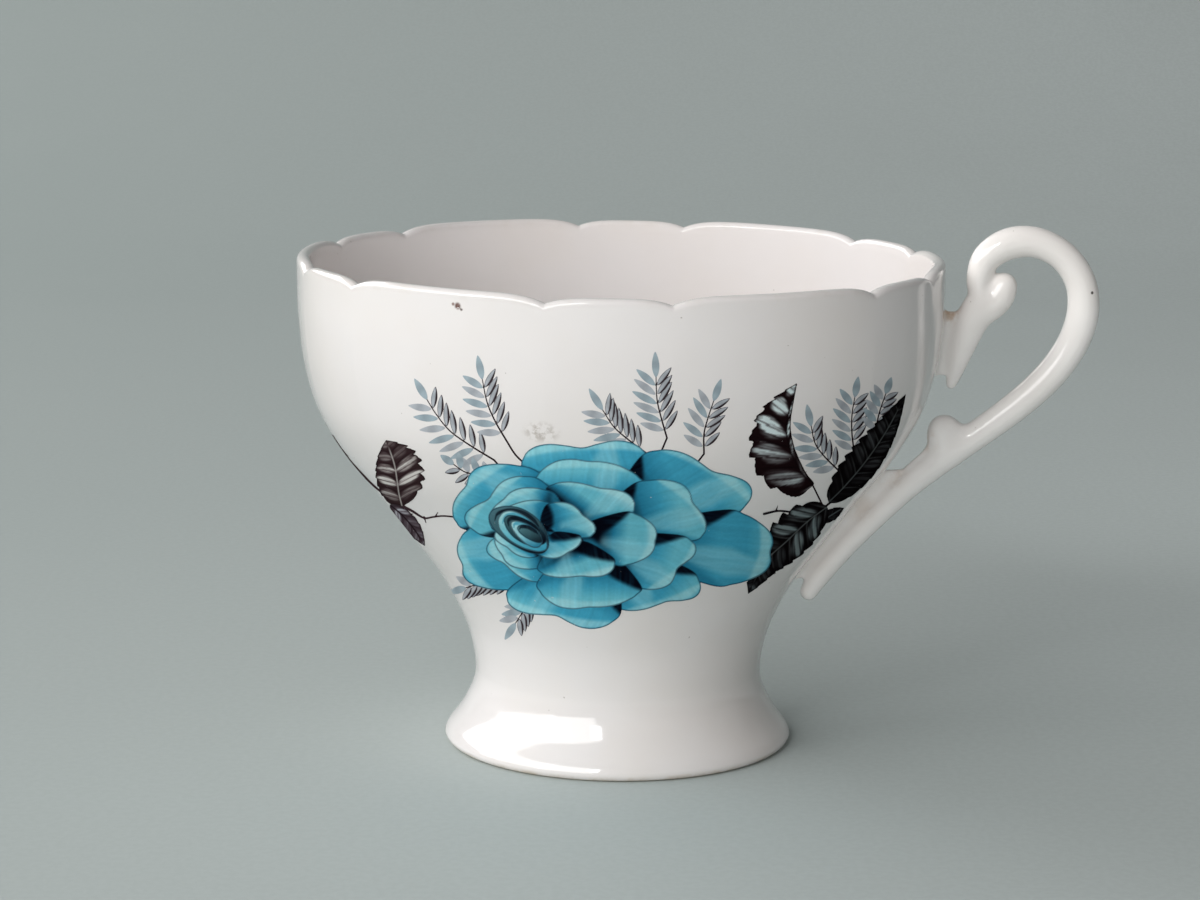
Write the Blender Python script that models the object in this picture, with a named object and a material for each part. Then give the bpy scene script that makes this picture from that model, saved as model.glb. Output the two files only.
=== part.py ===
"""Footed teacup with a scalloped rim and a scroll handle.

Three bone-china pieces that a potter casts apart and lutes together with slip:
  bowl    the flaring cup, with twelve lobes round its rim
  foot    the hollow pedestal foot, with a ground contact ring
  handle  the C-scroll handle, with its bud, thumb rest and two luted webs

Metres, +Z up.  Origin on the cup's axis at the height of the contact ring.
The handle lies in the XZ plane on the +X side.
"""
import math
import bpy
import bmesh
from mathutils import Vector

MM = 0.001

# ---------------------------------------------------------------- dimensions
# heights and radii in millimetres
JOINT_Z = 10.35            # height of the luted seam, at the waist
LUTE_GAP = 0.30            # clearance kept between luted pieces
WAIST_R = 20.3
RIM_R = 45.05              # outside radius just under the lip
RIM_Z = 68.0               # height of the rim at the bottom of a notch
WALL_RIM = 1.85            # wall thickness at the lip
WALL_BASE = 2.9            # wall thickness just above the floor
FLOOR_Z = 11.4             # inside floor at the centre
FLOOR_R = 18.0             # where the floor turns up into the wall
UNDERSIDE_Z = 8.5          # underside of the floor, inside the foot

# outside of the bowl: (height, radius)
BOWL_PROFILE = [
    (10.35, WAIST_R), (14.0, 20.8), (18.0, 22.05), (24.0, 25.2), (30.0, 29.55),
    (36.0, 34.1), (42.0, 38.9), (48.0, 42.35), (54.0, 44.15), (60.0, 44.92),
    (66.0, RIM_R), (72.0, 45.0),
]

# rim scallops: six pairs of a narrow and a wide lobe
LOBE_PAIRS = 6
LOBE_START = -2.0          # centre of the first narrow lobe, degrees from -Y
NARROW_HALF = 10.5         # half width of a narrow lobe, degrees
NARROW_RISE = 0.85         # height of a narrow lobe over its notches
WIDE_RISE = 1.15           # height of a wide lobe over its notches
NARROW_SHAPE = 4.0         # flatness of a narrow lobe's arch
WIDE_SHAPE = 6.0           # flatness of a wide lobe's arch
RIM_SAG = 0.40             # firing sag: the rim is this much lower on the handle side
PINCH = 0.08               # how far a notch pulls the lip inwards
NARROW_STEPS = 4
WIDE_STEPS = 8

# foot
FOOT_R = 24.65             # largest radius, at the rounded toe
CONTACT_OUT_R = 23.7       # ground contact ring
CONTACT_IN_R = 21.7
FOOT_SEGMENTS = 60
FOOT_PROFILE = [           # outside, from the toe up to the waist
    (1.0, FOOT_R), (2.0, 24.15), (3.0, 23.35), (4.5, 22.3), (6.0, 21.5),
    (8.0, 20.65), (10.35, WAIST_R),
]
SOCKET_R = 16.9            # inside radius of the foot's top, round the bowl's underside

# handle: centre line in the XZ plane, from the tail's tip round to the stub's tip
# (x, z, half width in the plane, half width across the plane)
SCROLL = [
    (27.0, 21.2, 1.3, 1.5), (28.35, 23.45, 1.65, 1.9), (30.45, 26.05, 1.7, 2.0),
    (32.85, 28.75, 1.7, 2.05), (35.35, 31.35, 1.75, 2.05), (37.95, 33.95, 1.8, 2.1),
    (40.65, 36.65, 1.95, 2.15), (44.3, 39.7, 2.1, 2.2), (48.0, 42.4, 2.1, 2.2),
    (51.6, 45.0, 2.1, 2.2), (55.0, 47.6, 2.15, 2.2), (58.4, 50.6, 2.2, 2.2),
    (61.3, 53.9, 2.25, 2.2), (63.5, 57.7, 2.3, 2.2), (64.5, 61.8, 2.3, 2.2),
    (63.9, 65.8, 2.2, 2.2), (61.5, 69.2, 2.15, 2.2), (57.8, 71.1, 2.2, 2.2),
    (54.0, 70.95, 2.3, 2.2), (50.95, 69.05, 2.1, 2.15), (49.8, 66.2, 1.75, 2.0),
    (49.95, 63.7, 1.7, 2.0), (49.35, 61.6, 2.05, 2.1), (48.75, 59.7, 2.4, 2.15),
    (48.0, 57.5, 2.15, 1.95), (47.3, 55.1, 1.75, 1.7), (46.8, 52.9, 1.25, 1.35),
    (46.4, 51.2, 0.8, 0.9),
]
# scroll bud, curling up inside the loop from the stub
BUD = [
    (49.6, 60.6, 1.7, 1.8), (51.4, 62.1, 2.2, 2.2), (52.7, 63.6, 2.25, 2.35),
    (53.3, 65.0, 1.95, 2.1),
]
# thumb rest, standing on the tail close to the wall
THUMB = [
    (45.9, 42.2, 2.1, 2.0), (45.6, 43.4, 2.45, 2.2), (45.6, 44.4, 2.4, 2.2),
]
ROD_SIDES = 14
ROD_STEP = 1.5             # ring spacing along a rod
# luted webs that fill the space between the rods and the wall: outline in XZ
UPPER_WEB = [(43.0, 61.6), (48.6, 61.2), (48.0, 56.5), (46.8, 52.0), (42.0, 50.4)]
LOWER_WEB = [(34.0, 38.6), (40.0, 38.9), (44.2, 43.0), (44.4, 39.6), (36.0, 32.0),
             (28.4, 24.0), (27.0, 21.6), (22.0, 21.0), (22.0, 26.0)]
WEB_HALF = 1.15            # half thickness of a web


# ------------------------------------------------------------------- helpers
def material(name, rgb, roughness, metallic=0.0):
    m = bpy.data.materials.new(name)
    m.use_nodes = True
    b = m.node_tree.nodes["Principled BSDF"]
    b.inputs["Base Color"].default_value = (*rgb, 1.0)
    b.inputs["Roughness"].default_value = roughness
    b.inputs["Metallic"].default_value = metallic
    m.diffuse_color = (*rgb, 1.0)
    return m


def spline(points, steps):
    """Catmull-Rom curve through points (tuples of any length), steps per span."""
    out = []
    n = len(points)
    for i in range(n - 1):
        p0 = points[max(i - 1, 0)]
        p1, p2 = points[i], points[i + 1]
        p3 = points[min(i + 2, n - 1)]
        for k in range(steps):
            t = k / steps
            out.append(tuple(
                0.5 * (2 * b + (c - a) * t + (2 * a - 5 * b + 4 * c - d) * t * t
                       + (3 * b - a - 3 * c + d) * t ** 3)
                for a, b, c, d in zip(p0, p1, p2, p3)))
    out.append(tuple(points[-1]))
    return out


def radius_at(profile, z):
    """Smooth turned profile: radius at height z, cubic between stations."""
    n = len(profile)
    z = min(max(z, profile[0][0]), profile[-1][0])
    i = 0
    while i < n - 2 and z > profile[i + 1][0]:
        i += 1

    def slope(k):
        a, b = profile[max(k - 1, 0)], profile[min(k + 1, n - 1)]
        return (b[1] - a[1]) / (b[0] - a[0])

    (z0, r0), (z1, r1) = profile[i], profile[i + 1]
    h = z1 - z0
    t = (z - z0) / h
    return (r0 * (1 + 2 * t) * (1 - t) ** 2 + slope(i) * h * t * (1 - t) ** 2
            + r1 * t * t * (3 - 2 * t) + slope(i + 1) * h * t * t * (t - 1))


def smoothstep(a, b, x):
    t = min(max((x - a) / (b - a), 0.0), 1.0)
    return t * t * (3 - 2 * t)


def lobes():
    """Angles round the rim with the lobe height and the closeness to a notch."""
    out = []
    pitch = 360.0 / LOBE_PAIRS
    for k in range(LOBE_PAIRS):
        c = LOBE_START + pitch * k
        for start, width, steps, rise, shape in (
                (c - NARROW_HALF, 2 * NARROW_HALF, NARROW_STEPS, NARROW_RISE, NARROW_SHAPE),
                (c + NARROW_HALF, pitch - 2 * NARROW_HALF, WIDE_STEPS, WIDE_RISE, WIDE_SHAPE)):
            for i in range(steps):
                u = (1 - math.cos(math.pi * i / steps)) / 2
                away = abs(2 * u - 1)
                out.append((start + width * u, rise * (1 - away ** shape), away ** 8))
    return out


def around(theta_deg, r, z):
    """Point at an angle counted from -Y towards +X."""
    t = math.radians(theta_deg)
    return Vector((r * math.sin(t), -r * math.cos(t), z)) * MM


def finish(bm, name, mat, sharp=35):
    bmesh.ops.recalc_face_normals(bm, faces=bm.faces[:])
    me = bpy.data.meshes.new(name)
    bm.to_mesh(me)
    bm.free()
    me.shade_smooth()
    me.set_sharp_from_angle(angle=math.radians(sharp))
    ob = bpy.data.objects.new(name, me)
    bpy.context.collection.objects.link(ob)
    if mat:
        me.materials.append(mat)
    return ob


def bridge(bm, a, b):
    n = len(a)
    for i in range(n):
        j = (i + 1) % n
        bm.faces.new((a[i], a[j], b[j], b[i]))


def fan(bm, ring, centre):
    v = bm.verts.new(centre)
    n = len(ring)
    for i in range(n):
        bm.faces.new((ring[i], ring[(i + 1) % n], v))


# ---------------------------------------------------------------------- bowl
def rim_height(lift, theta_deg):
    return RIM_Z + lift - RIM_SAG * math.sin(math.radians(theta_deg)) * 0.5


def make_bowl(mat):
    columns = lobes()
    bm = bmesh.new()
    rings = []

    def add(fn):
        rings.append([bm.verts.new(fn(*c)) for c in columns])

    def wall(nominal_z, inset):
        """Ring on the wall; the top rows follow the scalloped rim."""
        def fn(th, lift, near):
            grow = smoothstep(48.0, 66.0, nominal_z)
            z = nominal_z + grow * (rim_height(lift, th) - RIM_Z)
            r = radius_at(BOWL_PROFILE, nominal_z)
            dr = (radius_at(BOWL_PROFILE, nominal_z + 0.2)
                  - radius_at(BOWL_PROFILE, nominal_z - 0.2)) / 0.4
            s = math.hypot(1.0, dr)
            r -= inset / s + PINCH * near * smoothstep(52.0, 67.0, nominal_z)
            return around(th, r, z + inset * dr / s)
        return fn

    # underside, inside the foot
    plug_r = SOCKET_R - LUTE_GAP
    under = [(0.45 * plug_r, UNDERSIDE_Z), (0.8 * plug_r, UNDERSIDE_Z + 0.25),
             (plug_r, JOINT_Z + LUTE_GAP / 2 - 0.9), (plug_r, JOINT_Z + LUTE_GAP / 2)]
    for r, z in under:
        add(lambda th, lift, near, r=r, z=z: around(th, r, z))
    # outside of the wall
    z0 = JOINT_Z + LUTE_GAP / 2
    heights = [z0, 13.5, 17.0, 20.5, 24.0, 27.5, 31.0, 34.5, 38.0, 41.0, 44.0, 47.0,
               50.0, 53.5, 57.5, 61.5, 65.0, 66.9]
    for h in heights:
        add(wall(h, 0.0))

    # rounded lip
    def lip(inset, drop):
        def fn(th, lift, near):
            r = RIM_R - inset - PINCH * near
            return around(th, r, rim_height(lift, th) - drop)
        return fn

    add(lip(0.22, 0.42))
    add(lip(0.62, 0.08))
    add(lip(1.05, 0.0))
    add(lip(1.55, 0.25))
    # inside of the wall, downwards
    for h in (65.9, 61.5, 57.0, 52.5, 48.0, 44.0, 40.0, 36.0, 32.0, 28.0, 24.0, 20.0, 16.5):
        k = (h - 16.5) / (66.0 - 16.5)
        add(wall(h, WALL_BASE + (WALL_RIM - WALL_BASE) * min(k * 1.6, 1.0)))
    # dished floor
    rise = 4.6
    for deg in (66, 50, 34, 17):
        a = math.radians(deg)
        add(lambda th, lift, near, a=a: around(
            th, FLOOR_R * math.sin(a), FLOOR_Z + rise * (1 - math.cos(a))))
    for a, b in zip(rings, rings[1:]):
        bridge(bm, a, b)
    fan(bm, rings[0], Vector((0, 0, UNDERSIDE_Z)) * MM)
    fan(bm, rings[-1], Vector((0, 0, FLOOR_Z)) * MM)
    return finish(bm, "bowl", mat)


# ---------------------------------------------------------------------- foot
def make_foot(mat):
    bm = bmesh.new()
    top = JOINT_Z - LUTE_GAP / 2
    section = [(CONTACT_OUT_R, 0.0), (24.35, 0.25)]
    section += [(radius_at(FOOT_PROFILE, z), z) for z in (1.0, 1.6, 2.4, 3.4, 4.8, 6.4, 8.2)]
    section += [(radius_at(FOOT_PROFILE, top), top), (SOCKET_R, top)]
    section += [(SOCKET_R, 8.9), (17.6, 6.6), (19.0, 4.0), (20.4, 1.8), (21.3, 0.45),
                (CONTACT_IN_R, 0.0)]
    rings = []
    for r, z in section:
        rings.append([bm.verts.new(around(360.0 * i / FOOT_SEGMENTS, r, z))
                      for i in range(FOOT_SEGMENTS)])
    for a, b in zip(rings, rings[1:] + rings[:1]):
        bridge(bm, a, b)
    return finish(bm, "foot", mat)


# -------------------------------------------------------------------- handle
def make_rod(name, stations, mat=None):
    """Rod of varying oval section along a curve in the XZ plane, round ends."""
    dense = spline(stations, 8)
    # even spacing along the curve
    pts, walked = [dense[0]], 0.0
    for a, b in zip(dense, dense[1:]):
        walked += math.hypot(b[0] - a[0], b[1] - a[1])
        if walked >= ROD_STEP:
            pts.append(b)
            walked = 0.0
    if walked > ROD_STEP * 0.4:
        pts.append(dense[-1])
    else:
        pts[-1] = dense[-1]
    bm = bmesh.new()

    def ring(p, t, scale):
        n = Vector((-t[1], 0.0, t[0]))
        out = []
        for i in range(ROD_SIDES):
            a = 2 * math.pi * (i + 0.5) / ROD_SIDES
            v = (Vector((p[0], 0.0, p[1])) + n * (p[2] * scale * math.cos(a))
                 + Vector((0, p[3] * scale * math.sin(a), 0)))
            out.append(bm.verts.new(v * MM))
        return out

    rings = []
    last = len(pts) - 1
    for i, p in enumerate(pts):
        a, b = pts[max(i - 1, 0)], pts[min(i + 1, last)]
        d = math.hypot(b[0] - a[0], b[1] - a[1])
        t = ((b[0] - a[0]) / d, (b[1] - a[1]) / d)
        caps = [(30, 1.0), (60, 1.0)]
        if i == 0:
            for deg, _ in reversed(caps):
                s, c = math.sin(math.radians(deg)), math.cos(math.radians(deg))
                q = (p[0] - t[0] * p[2] * s, p[1] - t[1] * p[2] * s, p[2], p[3])
                rings.append(ring(q, t, c))
            start = Vector((p[0] - t[0] * p[2], 0, p[1] - t[1] * p[2])) * MM
        rings.append(ring(p, t, 1.0))
        if i == last:
            for deg, _ in caps:
                s, c = math.sin(math.radians(deg)), math.cos(math.radians(deg))
                q = (p[0] + t[0] * p[2] * s, p[1] + t[1] * p[2] * s, p[2], p[3])
                rings.append(ring(q, t, c))
            end = Vector((p[0] + t[0] * p[2], 0, p[1] + t[1] * p[2])) * MM
    for a, b in zip(rings, rings[1:]):
        bridge(bm, a, b)
    fan(bm, rings[0], start)
    fan(bm, rings[-1], end)
    return finish(bm, name, mat)


def make_web(name, outline):
    bm = bmesh.new()
    front = [bm.verts.new(Vector((x, -WEB_HALF, z)) * MM) for x, z in outline]
    back = [bm.verts.new(Vector((x, WEB_HALF, z)) * MM) for x, z in outline]
    bm.faces.new(front)
    bm.faces.new(list(reversed(back)))
    bridge(bm, front, back)
    return finish(bm, name, None)


def make_wall_cutter():
    """The bowl and foot's outside, larger by the luting gap."""
    bm = bmesh.new()
    segments = 96
    g = LUTE_GAP
    section = [(FOOT_R + g, 0.5), (radius_at(FOOT_PROFILE, 4.0) + g, 4.0)]
    section += [(radius_at(BOWL_PROFILE, z) + g, z) for z in
                (JOINT_Z, 13.5, 17.0, 20.5, 24.0, 27.5, 31.0, 34.5, 38.0, 41.0, 44.0,
                 47.0, 50.0, 53.5, 57.5, 61.5, 65.0, 70.0)]
    rings = [[bm.verts.new(around(360.0 * (i + 0.5) / segments, r, z)) for i in range(segments)]
             for r, z in section]
    for a, b in zip(rings, rings[1:]):
        bridge(bm, a, b)
    fan(bm, rings[0], Vector((0, 0, section[0][1])) * MM)
    fan(bm, rings[-1], Vector((0, 0, section[-1][1])) * MM)
    return finish(bm, "wall_cutter", None)


def helper(ob):
    ob.hide_render = True
    ob.display_type = "WIRE"
    return ob


def boolean(target, tool, operation):
    m = target.modifiers.new(tool.name, "BOOLEAN")
    m.operation = operation
    m.solver = "EXACT"
    m.object = tool


def make_handle(mat):
    handle = make_rod("handle", SCROLL, mat)
    for tool in (make_rod("bud_shape", BUD), make_rod("thumb_shape", THUMB),
                 make_web("upper_web_shape", UPPER_WEB), make_web("lower_web_shape", LOWER_WEB)):
        boolean(handle, helper(tool), "UNION")
    boolean(handle, helper(make_wall_cutter()), "DIFFERENCE")
    return handle


def main():
    for ob in list(bpy.data.objects):
        bpy.data.objects.remove(ob, do_unlink=True)
    make_bowl(material("bowl_glaze", (0.86, 0.85, 0.82), 0.12))
    make_foot(material("foot_glaze", (0.85, 0.84, 0.80), 0.14))
    make_handle(material("handle_glaze", (0.87, 0.86, 0.83), 0.10))


main()
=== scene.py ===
"""Footed teacup: glazed bone china with a floral transfer, on a plain pale sweep."""
import math
import bpy
import bmesh
import numpy as np
from mathutils import Matrix, Vector
from mathutils.geometry import delaunay_2d_cdt


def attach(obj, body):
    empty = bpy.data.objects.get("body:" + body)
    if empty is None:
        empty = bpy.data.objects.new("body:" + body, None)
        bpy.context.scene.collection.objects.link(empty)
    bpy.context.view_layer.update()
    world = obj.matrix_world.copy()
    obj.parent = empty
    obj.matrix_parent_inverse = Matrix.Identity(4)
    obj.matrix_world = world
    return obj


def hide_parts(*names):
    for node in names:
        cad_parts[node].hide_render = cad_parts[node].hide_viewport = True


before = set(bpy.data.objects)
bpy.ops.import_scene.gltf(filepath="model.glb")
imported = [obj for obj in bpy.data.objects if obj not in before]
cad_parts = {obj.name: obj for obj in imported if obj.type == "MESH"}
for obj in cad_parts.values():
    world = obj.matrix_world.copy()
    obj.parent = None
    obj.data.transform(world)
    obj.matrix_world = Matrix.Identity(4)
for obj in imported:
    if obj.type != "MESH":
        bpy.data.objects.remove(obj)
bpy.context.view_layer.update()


MM = 0.001

# ------------------------------------------------------------ the cup's form, in mm
INSET = 0.06               # the glazed surface lies this far inside the CAD wall
JOINT_Z = 10.35
WAIST_R = 20.3
RIM_R = 45.05
RIM_Z = 68.0
WALL_RIM = 1.85
WALL_BASE = 2.9
FLOOR_Z = 11.4
FLOOR_R = 18.0
UNDERSIDE_Z = 8.5
SOCKET_R = 16.9
BOWL_PROFILE = [
    (10.35, WAIST_R), (14.0, 20.8), (18.0, 22.05), (24.0, 25.2), (30.0, 29.55),
    (36.0, 34.1), (42.0, 38.9), (48.0, 42.35), (54.0, 44.15), (60.0, 44.92),
    (66.0, RIM_R), (72.0, 45.0),
]
FOOT_R = 24.65
CONTACT_OUT_R, CONTACT_IN_R = 23.7, 21.7
FOOT_PROFILE = [
    (1.0, FOOT_R), (2.0, 24.15), (3.0, 23.35), (4.5, 22.3), (6.0, 21.5),
    (8.0, 20.65), (10.35, WAIST_R),
]
LOBE_PAIRS, LOBE_START, NARROW_HALF = 6, -2.0, 10.5
NARROW_RISE, WIDE_RISE = 0.85, 1.15
NARROW_SHAPE, WIDE_SHAPE = 4.0, 6.0
RIM_SAG = 0.40


def tangents(st):
    z = np.array([s[0] for s in st], float)
    r = np.array([s[1] for s in st], float)
    m = np.empty(len(z))
    m[1:-1] = (r[2:] - r[:-2]) / (z[2:] - z[:-2])
    m[0] = (r[1] - r[0]) / (z[1] - z[0])
    m[-1] = (r[-1] - r[-2]) / (z[-1] - z[-2])
    return z, r, m


def profile(st, zq):
    """Radius of a turned profile at heights zq: cubic between stations."""
    z, r, m = tangents(st)
    zq = np.clip(np.asarray(zq, float), z[0], z[-1])
    i = np.clip(np.searchsorted(z, zq, side="right") - 1, 0, len(z) - 2)
    h = z[i + 1] - z[i]
    t = (zq - z[i]) / h
    return (r[i] * (1 + 2 * t) * (1 - t) ** 2 + m[i] * h * t * (1 - t) ** 2
            + r[i + 1] * t * t * (3 - 2 * t) + m[i + 1] * h * t * t * (t - 1))


CUP_PROFILE = FOOT_PROFILE[:-1] + BOWL_PROFILE      # one flowing line through the waist


def bowl_r(z):
    return profile(CUP_PROFILE, z) - INSET


foot_r = outer_r = bowl_r


def step(a, b, x):
    t = np.clip((np.asarray(x, float) - a) / (b - a), 0, 1)
    return t * t * (3 - 2 * t)


def lobe_columns(narrow, wide):
    th, lift, near = [], [], []
    pitch = 360.0 / LOBE_PAIRS
    for k in range(LOBE_PAIRS):
        c = LOBE_START + pitch * k
        for start, width, n, rise, shape in (
                (c - NARROW_HALF, 2 * NARROW_HALF, narrow, NARROW_RISE, NARROW_SHAPE),
                (c + NARROW_HALF, pitch - 2 * NARROW_HALF, wide, WIDE_RISE, WIDE_SHAPE)):
            i = np.arange(n)
            u = (1 - np.cos(np.pi * i / n)) / 2 * 0.8 + 0.2 * i / n
            away = np.abs(2 * u - 1)
            th += list(start + width * u)
            lift += list(rise * (1 - away ** shape))
            near += list(away ** (8 if width < 30 else 16))
    return np.array(th), np.array(lift), np.array(near)


def around(theta_deg, r, z):
    t = np.radians(theta_deg)
    r = np.broadcast_to(r, np.shape(t))
    z = np.broadcast_to(z, np.shape(t))
    return np.stack([r * np.sin(t), -r * np.cos(t), z], -1)


def mesh_object(name, verts_mm, faces, mats=(), sharp=None, face_mat=None):
    me = bpy.data.meshes.new(name)
    me.from_pydata((np.asarray(verts_mm, float) * MM).tolist(), [], faces)
    me.validate()
    me.update()
    me.shade_smooth()
    if sharp is not None:
        me.set_sharp_from_angle(angle=math.radians(sharp))
    for m in mats:
        me.materials.append(m)
    if face_mat is not None:
        me.polygons.foreach_set("material_index", np.asarray(face_mat, np.int32))
    ob = bpy.data.objects.new(name, me)
    bpy.context.scene.collection.objects.link(ob)
    return ob


def tube_faces(rings, n, closed_rings=False, first=0):
    """Quads between rings of n vertices each, wound to face outwards for rings that rise
    on the outside with the columns running anticlockwise seen from below."""
    out = []
    m = rings if closed_rings else rings - 1
    for a in range(m):
        b = (a + 1) % rings
        for i in range(n):
            j = (i + 1) % n
            out.append((first + a * n + i, first + a * n + j, first + b * n + j, first + b * n + i))
    return out


def fix_normals(ob):
    bm = bmesh.new()
    bm.from_mesh(ob.data)
    bmesh.ops.recalc_face_normals(bm, faces=bm.faces[:])
    bm.to_mesh(ob.data)
    bm.free()


# ---------------------------------------------------------------- materials
def srgb(r, g, b):
    """Linear colour from 0..255 display values."""
    c = np.array([r, g, b], float) / 255
    return tuple(np.where(c <= 0.04045, c / 12.92, ((c + 0.055) / 1.055) ** 2.4))


class Tree:
    def __init__(self, name):
        self.mat = bpy.data.materials.new(name)
        self.mat.use_nodes = True
        self.nt = self.mat.node_tree
        self.bsdf = self.nt.nodes["Principled BSDF"]
        self.coord = self.nt.nodes.new("ShaderNodeTexCoord")

    def node(self, kind, **props):
        n = self.nt.nodes.new(kind)
        for k, v in props.items():
            setattr(n, k, v)
        return n

    def link(self, a, b):
        self.nt.links.new(a, b)

    def put(self, socket, value):
        if isinstance(value, bpy.types.NodeSocket):
            self.link(value, socket)
        elif value is not None:
            socket.default_value = value

    def noise(self, scale, detail=3.0, rough=0.55, distort=0.0, vector=None):
        n = self.node("ShaderNodeTexNoise")
        self.link(vector or self.coord.outputs["Object"], n.inputs["Vector"])
        n.inputs["Scale"].default_value = scale
        n.inputs["Detail"].default_value = detail
        n.inputs["Roughness"].default_value = rough
        n.inputs["Distortion"].default_value = distort
        return n.outputs["Fac"]

    def ramp(self, fac, lo, hi, a=0.0, b=1.0):
        n = self.node("ShaderNodeMapRange", clamp=True)
        n.interpolation_type = "SMOOTHSTEP"
        self.put(n.inputs["Value"], fac)
        for k, v in (("From Min", lo), ("From Max", hi), ("To Min", a), ("To Max", b)):
            n.inputs[k].default_value = v
        return n.outputs["Result"]

    def math(self, op, a, b=None, c=None):
        n = self.node("ShaderNodeMath", operation=op)
        self.put(n.inputs[0], a)
        self.put(n.inputs[1], b)
        self.put(n.inputs[2], c)
        return n.outputs[0]

    def mix(self, fac, a, b, blend="MIX"):
        n = self.node("ShaderNodeMix", data_type="RGBA", blend_type=blend)
        n.clamp_factor = True
        self.put(n.inputs["Factor"], fac)
        for s, v in ((n.inputs[6], a), (n.inputs[7], b)):
            self.put(s, v if isinstance(v, bpy.types.NodeSocket) else (*v, 1.0))
        return n.outputs[2]

    def near(self, centre_mm, inner_mm, outer_mm, stretch=(1, 1, 1)):
        """1 close to a point, falling to 0: a place on the object, in mm."""
        m = self.node("ShaderNodeVectorMath", operation="SUBTRACT")
        self.link(self.coord.outputs["Object"], m.inputs[0])
        m.inputs[1].default_value = [c * MM for c in centre_mm]
        s = self.node("ShaderNodeVectorMath", operation="MULTIPLY")
        self.link(m.outputs[0], s.inputs[0])
        s.inputs[1].default_value = stretch
        d = self.node("ShaderNodeVectorMath", operation="LENGTH")
        self.link(s.outputs[0], d.inputs[0])
        return self.ramp(d.outputs["Value"], inner_mm * MM, outer_mm * MM, 1.0, 0.0)

    def height(self):
        s = self.node("ShaderNodeSeparateXYZ")
        self.link(self.coord.outputs["Object"], s.inputs[0])
        return s.outputs["Z"]

    def bump(self, height, strength, distance, normal=None):
        n = self.node("ShaderNodeBump")
        n.inputs["Strength"].default_value = strength
        n.inputs["Distance"].default_value = distance
        self.put(n.inputs["Height"], height)
        if normal is not None:
            self.link(normal, n.inputs["Normal"])
        return n.outputs["Normal"]


def glaze_surface(t, colour, rough=0.1, shine=0.5, coat=0.3):
    """Clear fired glaze over a body of the given colour: soft waviness and fine pitting."""
    wave = t.noise(70.0, 2.0, 0.45)
    fine = t.noise(900.0, 2.0, 0.5)
    pits = t.ramp(t.noise(2600.0, 1.0, 0.5), 0.71, 0.78)
    rough_v = t.math("ADD", t.ramp(t.noise(180.0, 4.0, 0.6), 0.35, 0.75, rough * 0.75, rough * 1.6),
                     t.math("MULTIPLY", pits, 0.12))
    n1 = t.bump(wave, 0.10, 0.0012)
    n2 = t.bump(fine, 0.05, 0.00008, n1)
    n3 = t.bump(t.math("MULTIPLY", pits, -1.0), 0.12, 0.00004, n2)
    t.put(t.bsdf.inputs["Base Color"], colour)
    t.put(t.bsdf.inputs["Roughness"], rough_v)
    t.bsdf.inputs["IOR"].default_value = 1.52
    t.bsdf.inputs["Specular IOR Level"].default_value = shine
    t.bsdf.inputs["Coat Weight"].default_value = coat
    t.bsdf.inputs["Coat Roughness"].default_value = 0.04
    t.put(t.bsdf.inputs["Normal"], n3)
    t.put(t.bsdf.inputs["Coat Normal"], n1)
    return t


WHITE = srgb(231, 227, 226)
# painted light: the handle's white is set brighter than the bowl's WHITE, though both are the same china, so the
# handle reads as more brightly lit
HANDLE_WHITE_LIT = srgb(250, 247, 245)
WARM = srgb(226, 217, 208)


def china(name, extra=None, white=WHITE):
    """White bone china: faint cloudiness, warm where the glaze pools, tiny kiln specks."""
    t = Tree(name)
    cloud = t.ramp(t.noise(38.0, 4.0, 0.55), 0.35, 0.7)
    c = t.mix(t.math("MULTIPLY", cloud, 0.30), white, WARM)
    speck = t.ramp(t.noise(1500.0, 1.0, 0.4), 0.81, 0.84)
    c = t.mix(t.math("MULTIPLY", speck, 0.5), c, srgb(120, 104, 88))
    if extra:
        c = extra(t, c)
    return glaze_surface(t, c).mat


def bowl_details(t, c):
    # a kiln speck below the rim, a faint grey smear on the front, and rim wear
    for place, size, tone, amount in (
            ((-20.7, -39.9, 67.2), 0.62, srgb(98, 60, 48), 0.95),
            ((-20.2, -40.1, 66.8), 0.3, srgb(70, 40, 32), 0.9),
            ((-21.3, -39.6, 67.4), 0.3, srgb(110, 70, 56), 0.8)):
        m = t.near(place, size * 0.35, size)
        m = t.math("MULTIPLY", m, t.ramp(t.noise(2400.0, 2.0, 0.6), 0.32, 0.44))
        c = t.mix(t.math("MULTIPLY", m, amount), c, tone)
    front = -math.sqrt(float(bowl_r(51.4)) ** 2 - 10.0 ** 2)
    smear = t.math("MULTIPLY", t.near((-10.0, front, 51.4), 0.8, 3.0, (1, 1, 1.7)),
                   t.ramp(t.noise(950.0, 3.0, 0.6), 0.44, 0.62))
    c = t.mix(t.math("MULTIPLY", smear, 0.6), c, srgb(150, 138, 126))
    # faint wear along the lip
    lip = t.ramp(t.height(), 0.0672, 0.0690)
    worn = t.math("MULTIPLY", lip, t.ramp(t.noise(420.0, 4.0, 0.6), 0.45, 0.7))
    c = t.mix(t.math("MULTIPLY", worn, 0.16), c, srgb(205, 196, 182))
    # warm brown where the handle's slip meets the wall: painted shade in the join, with some tea and age stain
    for place, inner, outer, amount in (((45.2, 0, 61.5), 0.6, 3.4, 0.35),
                                        ((38.5, 0, 39.5), 0.8, 3.6, 0.3)):
        m = t.math("MULTIPLY", t.near(place, inner, outer), t.ramp(t.noise(700.0, 3.0, 0.6), 0.4, 0.62))
        c = t.mix(t.math("MULTIPLY", m, amount), c, srgb(176, 140, 104))
    return c


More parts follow.
